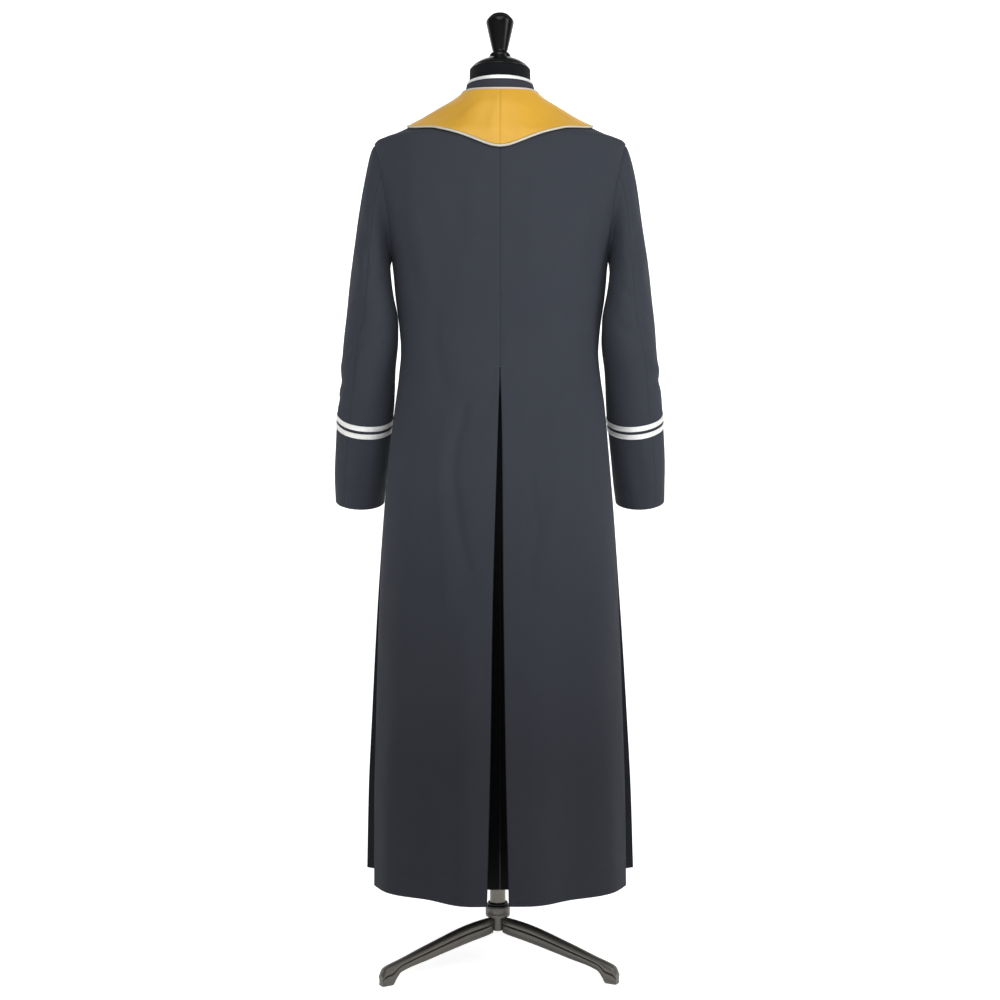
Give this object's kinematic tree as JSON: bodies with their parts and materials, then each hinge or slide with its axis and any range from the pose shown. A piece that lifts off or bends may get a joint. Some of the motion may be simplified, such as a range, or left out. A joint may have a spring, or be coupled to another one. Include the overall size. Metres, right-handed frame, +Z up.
{
  "type": "cassock on a dress form",
  "caption": "Long grey cassock with a gold cape collar, sleeve braids, deep back and side pleats and a buttoned front, worn on a limbless tailor's form with a tripod stand.",
  "frame": {"origin": "on the floor, at the centre of the bounding box's bottom face", "axes": "+Z up; the garment's front faces -Y and its back +Y; the wearer's left is +X"},
  "size_m": [0.6016, 0.4504, 1.673],
  "materials": {
    "wool": "matt, smooth plain-woven wool in a dark blue grey",
    "cape_satin": "soft satin sheen, gold yellow",
    "silver_braid": "flat woven silver braid",
    "piping": "corded ivory and silver piping",
    "button": "satin dark grey",
    "form_cloth": "matt black jersey",
    "gloss_black": "gloss black lacquer",
    "ring_plastic": "satin black",
    "pole_metal": "satin warm grey metal",
    "cast_metal": "satin warm grey casting"
  },
  "bodies": {
    "root": {"back_left": "wool", "back_right": "wool", "braid_lower_left": "silver_braid", "braid_lower_right": "silver_braid", "braid_upper_left": "silver_braid", "braid_upper_right": "silver_braid", "button_01": "button", "button_02": "button", "button_03": "button", "button_04": "button", "button_05": "button", "button_06": "button", "button_07": "button", "button_08": "button", "button_09": "button", "button_10": "button", "button_11": "button", "button_12": "button", "button_13": "button", "button_14": "button", "cape_left": "cape_satin", "cape_piping": "piping", "cape_right": "cape_satin", "collar_braid": "silver_braid", "collar_stand": "wool", "finial": "gloss_black", "form_torso": "form_cloth", "front_left": "wool", "front_right": "wool", "hub": "cast_metal", "leg_1": "cast_metal", "leg_2": "cast_metal", "leg_3": "cast_metal", "neck_cap": "gloss_black", "neck_piping": "piping", "pole": "pole_metal", "pole_ring": "ring_plastic", "top_sleeve_left": "wool", "top_sleeve_right": "wool", "under_sleeve_left": "wool", "under_sleeve_right": "wool"}
  },
  "joints": []
}
